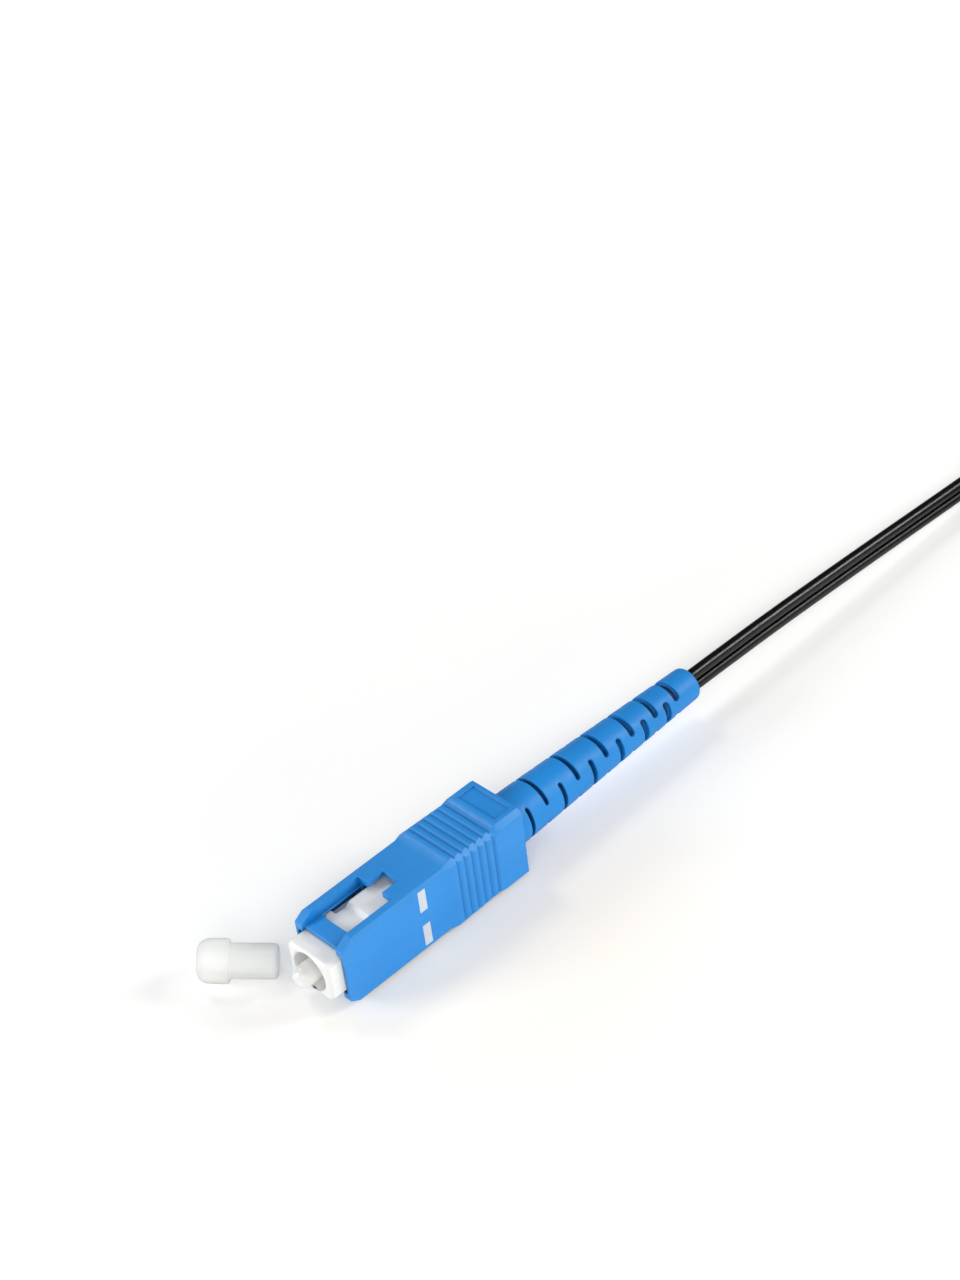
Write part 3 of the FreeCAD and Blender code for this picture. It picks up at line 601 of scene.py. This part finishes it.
# ---------------------------------------------------------------- cable
ROUTE = [(32.0, 0.0, 0.0), (66.0, 0.0, -0.05), (90.0, 0.0, -1.05), (111.0, 0.0, -2.25),
         (127.5, 0.0, -3.0)]
COIL_CENTRE = (137.0, -19.7)
LANES = (19.7, 17.6, 15.5, 13.4, 11.3)
TIE_UNDER = 0.35
LAYERS = tuple(FLOOR_Z / MM + TIE_UNDER + rise for rise in (1.55, 4.65))
# (turn at which a move starts, turn at which it ends, new lane, new layer)
MOVES = ((0.85, 1.0, 1, 0), (1.85, 2.0, 2, 0), (2.85, 3.0, 3, 0), (3.85, 4.0, 4, 0),
         (4.72, 4.90, 4, 1), (5.62, 5.77, 3, 1), (6.62, 6.77, 2, 1), (7.62, 7.77, 1, 1),
         (8.62, 8.77, 0, 1))
COIL_TURNS = 9.28
STEPS_A_TURN = 24
# half sizes of one lobe, and the distance between the two lobes' middles
LOBE_WIDTH, LOBE_THICKNESS, LOBE_SPACING = 0.76, 0.72, 1.48
LOBE_STEPS = 20
SEAM_MARGIN = 0.05
# degrees of lean, and where along x it starts to ease off and over what length
LEAN, LEAN_EASES_FROM, LEAN_EASES_OVER = -6.0, 113.0, 20.0
LEAN_END = 136.5
COIL_SIDE = -0.001  # metres; only the coil goes further to this side
LEAN_POINTS = 200


def eased(t):
    t = min(1.0, max(0.0, t))
    return t * t * (3 - 2 * t)


def coil_point(turn):
    """Place of the cable's middle after this many turns of the put-away coil."""
    radius, height = LANES[0], LAYERS[0]
    for start, end, lane, layer in MOVES:
        share = eased((turn - start) / (end - start))
        radius += (LANES[lane] - radius) * share
        height += (LAYERS[layer] - height) * share
    # the spline cuts its corners, so they stand a little further out
    radius /= (3 + math.cos(2 * math.pi / STEPS_A_TURN)) / 4
    angle = math.pi / 2 - 2 * math.pi * turn
    return (COIL_CENTRE[0] + radius * math.cos(angle),
            COIL_CENTRE[1] + radius * math.sin(angle), height)


def cable_line():
    """The cable's middle line as close points, read off a NURBS spline through the route."""
    points = list(ROUTE)
    for step in range(1, round(COIL_TURNS * STEPS_A_TURN) + 1):
        points.append(coil_point(step / STEPS_A_TURN))
    data = bpy.data.curves.new("cable_line", "CURVE")
    data.dimensions = "3D"
    spline = data.splines.new("NURBS")
    spline.points.add(len(points) - 1)
    for place, point in zip(points, spline.points):
        point.co = (place[0] * MM, place[1] * MM, place[2] * MM, 1)
    spline.order_u = 3
    spline.use_endpoint_u = True
    spline.resolution_u = 5
    curve = add_object("cable_line", data)
    bpy.context.view_layer.update()
    mesh = bpy.data.meshes.new_from_object(curve)
    line = [v.co.copy() for v in mesh.vertices]
    bpy.data.objects.remove(curve)
    bpy.data.meshes.remove(mesh)
    return line


def cable_section():
    """Two full lobes side by side with a groove between them on both wide faces."""
    half = []
    seam = math.acos(LOBE_SPACING / 2 / LOBE_WIDTH) + SEAM_MARGIN
    for step in range(LOBE_STEPS + 1):
        angle = -math.pi + seam + (2 * math.pi - 2 * seam) * step / LOBE_STEPS
        half.append((LOBE_SPACING / 2 + math.cos(angle) * LOBE_WIDTH,
                     math.sin(angle) * LOBE_THICKNESS))
    return half + [(-w, -t) for w, t in half]


def lean_at(place):
    """How far the flat cable leans over from standing on its narrow side, in radians."""
    x = place.x / MM
    if place.y < COIL_SIDE or x > LEAN_END:
        return 0.0
    return math.radians(LEAN * (1 - eased((x - LEAN_EASES_FROM) / LEAN_EASES_OVER)))


def make_cable():
    line = cable_line()
    section = cable_section()
    count = len(section)
    verts = []
    for index, spot in enumerate(line):
        ahead = line[min(index + 1, len(line) - 1)] - line[max(index - 1, 0)]
        ahead.normalize()
        side = Vector((0, 0, 1)).cross(ahead).normalized()
        above = ahead.cross(side)
        lean = lean_at(spot) if index < LEAN_POINTS else 0.0
        across = above * math.cos(lean) - side * math.sin(lean)
        out = side * math.cos(lean) + above * math.sin(lean)
        for w, t in section:
            verts.append((spot / MM) + across * w + out * t)
    rings = [list(range(ring * count, (ring + 1) * count)) for ring in range(len(line))]
    faces = strips(rings) + [rings[0], rings[-1]]
    cable = new_object("flat_cable", verts, faces, jacket)
    for edge in cable.data.edges:  # the groove's two corners stay sharp
        start, end = edge.vertices
        if start % count == end % count and start % (LOBE_STEPS + 1) in (0, LOBE_STEPS):
            edge.use_edge_sharp = True
    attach(cable, "plug")
    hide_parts("cable", "cable_coil")
    return cable, line


cable, cable_middle = make_cable()
ties = eased_copy("coil_ties", "wrap_ties", tie_black, "plug", 0.14, 3)


# ---------------------------------------------------------------- dust cap
# (x, radius, fillet) round the outside from the closed end, then back inside the bore
CAP_PROFILE = ((0.4, 0, 0), (0.4, 2.42, 1.5), (3.9, 2.42, 0.4), (3.9, 1.92, 0.15),
               (9.05, 1.92, 0.6), (9.05, 1.28, 0.05), (1.9, 1.28, 0.3), (1.9, 0, 0))
CAP_HEAD_RADIUS, CAP_HEAD_LENGTH, CAP_RADIUS, CAP_LENGTH = 2.45, 3.9, 1.975, 9.1
CAP_X, CAP_Y, CAP_TURN = -3.84, 12.61, -45.9


def make_cap():
    """The dust cap, which lies on the floor on its head's edge and its open end."""
    cap = lathe("clear_cap", rounded_profile(CAP_PROFILE), cap_clear)
    lean = math.atan((CAP_HEAD_RADIUS - CAP_RADIUS) / (CAP_LENGTH - CAP_HEAD_LENGTH))
    height = FLOOR_Z / MM + CAP_HEAD_RADIUS * math.cos(lean) + CAP_HEAD_LENGTH * math.sin(lean)
    turn = Matrix.Rotation(math.radians(CAP_TURN), 4, "Z") @ Matrix.Rotation(lean, 4, "Y")
    cap.data.transform(Matrix.Translation(Vector((CAP_X, CAP_Y, height)) * MM) @ turn)
    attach(cap, "plug")
    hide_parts("dust_cap")


make_cap()


# ---------------------------------------------------------------- stage, light, camera
FLOOR_SIZE = 8  # metres, as all lengths of the stage
SHADOW_MIDDLE = (0.03, 0.0, FLOOR_Z)
NEAR_REACH, NEAR_GLOW = (0.04, 0.2), (0.14, 0.5)
FAR_REACH, FAR_GLOW = (0.2, 1.0), (0.0, 0.5)
# painted tint: near the housing the floor is made warm to cancel the blue light the housing bounces
# onto it
SPILL_TINT_MIDDLE, SPILL_TINT_REACH = (0.02, -0.01, FLOOR_Z), (0.008, 0.034)
SPILL_CANCEL_PAPER, WHITE_PAPER, BOUNCE_PAPER = (0.95, 0.905, 0.84), (0.95, 0.95, 0.95), (0.9, 0.9, 0.9)
WHITE = (1, 1, 1)
FILL, FILL_IN_REFLECTIONS = 0.3, 0.04
FOCAL_PIXELS, PICTURE_HEIGHT, SENSOR = 2500, 1280, 36
CAMERA_PLACE = (-98.81, -154.14, 185.12)  # millimetres
CAMERA_RIGHT, CAMERA_FORWARD = (0.7052, -0.7012, -0.1050), (0.5043, 0.6001, -0.6209)
# name, place, target, size, watts, colour
LAMPS = (
    ("front_box", (0.375, -0.265, 0.25), (0.06, 0, 0), (0.17, 0.17), 1.05, (1, 0.99, 0.96)),
    ("low_box", (-0.05, -0.5, 0.1), (0.02, 0, 0), (0.3, 0.15), 0.75, (1, 0.96, 0.88)),
    ("camera_box", (-0.35, -0.3, 0.35), (0, 0, 0), (0.3, 0.3), 0.85, WHITE),
    ("nose_box", (-0.42, 0.3, 0.2), (0, 0, 0), (0.2, 0.2), 1.4, WHITE),
    ("top_box", (0.045, 0.36, 0.52), (0.03, 0, 0), (0.15, 0.15), 0.6, WHITE),
)


def away(mat, centre, reach, values):
    """Value that runs from values[0] to values[1] between two distances from a point."""
    where = node(mat, "ShaderNodeNewGeometry")
    gap = node(mat, "ShaderNodeVectorMath", operation="DISTANCE")
    gap.inputs[1].default_value = centre
    link(mat, where.outputs["Position"], gap.inputs[0])
    return map_range(mat, gap.outputs["Value"], reach, values, interpolation_type="SMOOTHSTEP")


def seen_directly(owner):
    """1 where the camera looks straight or through something clear, else 0."""
    path = node(owner, "ShaderNodeLightPath")
    return combine(owner, "MAXIMUM", path.outputs["Is Camera Ray"],
                   path.outputs["Is Transmission Ray"])


def make_floor():
    """Pale floor that keeps the shadow near the part and runs out into plain white."""
    bpy.ops.mesh.primitive_plane_add(size=FLOOR_SIZE, location=(0, 0, FLOOR_Z))
    floor = bpy.context.object
    floor.name = "floor"
    mat = new_material("floor_white", WHITE_PAPER, 0.9, **{"Specular IOR Level": 0.1})
    direct = seen_directly(mat)
    glow = node(mat, "ShaderNodeEmission", Color=(*WHITE, 1))
    # painted light: the floor glows where seen directly, less near the part so that its shadow
    # stays, more further out where the lamps' light falls off
    lift = combine(mat, "ADD", away(mat, SHADOW_MIDDLE, NEAR_REACH, NEAR_GLOW),
                   away(mat, SHADOW_MIDDLE, FAR_REACH, FAR_GLOW))
    link(mat, combine(mat, "MULTIPLY", direct, lift), glow.inputs["Strength"])
    # painted tint that cancels the housing's blue bounce light on the floor near it
    spill_tint_fade = away(mat, SPILL_TINT_MIDDLE, SPILL_TINT_REACH, (0.0, 1.0))
    tint = color_mix(mat, spill_tint_fade, SPILL_CANCEL_PAPER, WHITE_PAPER)
    link(mat, color_mix(mat, direct, BOUNCE_PAPER, tint), shader_of(mat).inputs["Base Color"])
    both = node(mat, "ShaderNodeAddShader")
    link(mat, shader_of(mat).outputs[0], both.inputs[0])
    link(mat, glow.outputs[0], both.inputs[1])
    link(mat, both.outputs[0], mat.node_tree.nodes["Material Output"].inputs["Surface"])
    floor.data.materials.append(mat)


def make_world():
    """White to the camera, a soft fill on surfaces, and nearly dark in reflections."""
    world = bpy.data.worlds.new("studio")
    bpy.context.scene.world = world
    world.use_nodes = True
    fill = world.node_tree.nodes["Background"]
    fill.inputs["Color"].default_value = (*WHITE, 1)
    path = node(world, "ShaderNodeLightPath")
    dim = map_range(world, path.outputs["Is Glossy Ray"], (0.0, 1.0), (FILL, FILL_IN_REFLECTIONS))
    link(world, combine(world, "MAXIMUM", dim, seen_directly(world)), fill.inputs["Strength"])


def make_camera():
    data = bpy.data.cameras.new("camera")
    data.sensor_width = SENSOR
    data.lens = FOCAL_PIXELS * SENSOR / PICTURE_HEIGHT
    data.clip_start = 0.01
    data.clip_end = 20
    camera = bpy.data.objects.new("camera", data)
    right = Vector(CAMERA_RIGHT).normalized()
    forward = Vector(CAMERA_FORWARD).normalized()
    up = right.cross(forward)
    right = forward.cross(up)
    turn = Matrix((right, up, -forward)).transposed().to_4x4()
    camera.matrix_world = Matrix.Translation(Vector(CAMERA_PLACE) * MM) @ turn
    bpy.context.scene.collection.objects.link(camera)
    bpy.context.scene.camera = camera


def area_light(name, place, target, size, power, color):
    data = bpy.data.lights.new(name, "AREA")
    data.shape = "RECTANGLE"
    data.size, data.size_y = size
    data.energy = power
    data.color = color
    lamp = add_object(name, data)
    lamp.location = place
    aim = Vector(target) - Vector(place)
    lamp.rotation_euler = aim.to_track_quat("-Z", "Y").to_euler()


make_floor()
make_world()
make_camera()
for lamp in LAMPS:
    area_light(*lamp)
bpy.context.scene.view_settings.view_transform = "Standard"
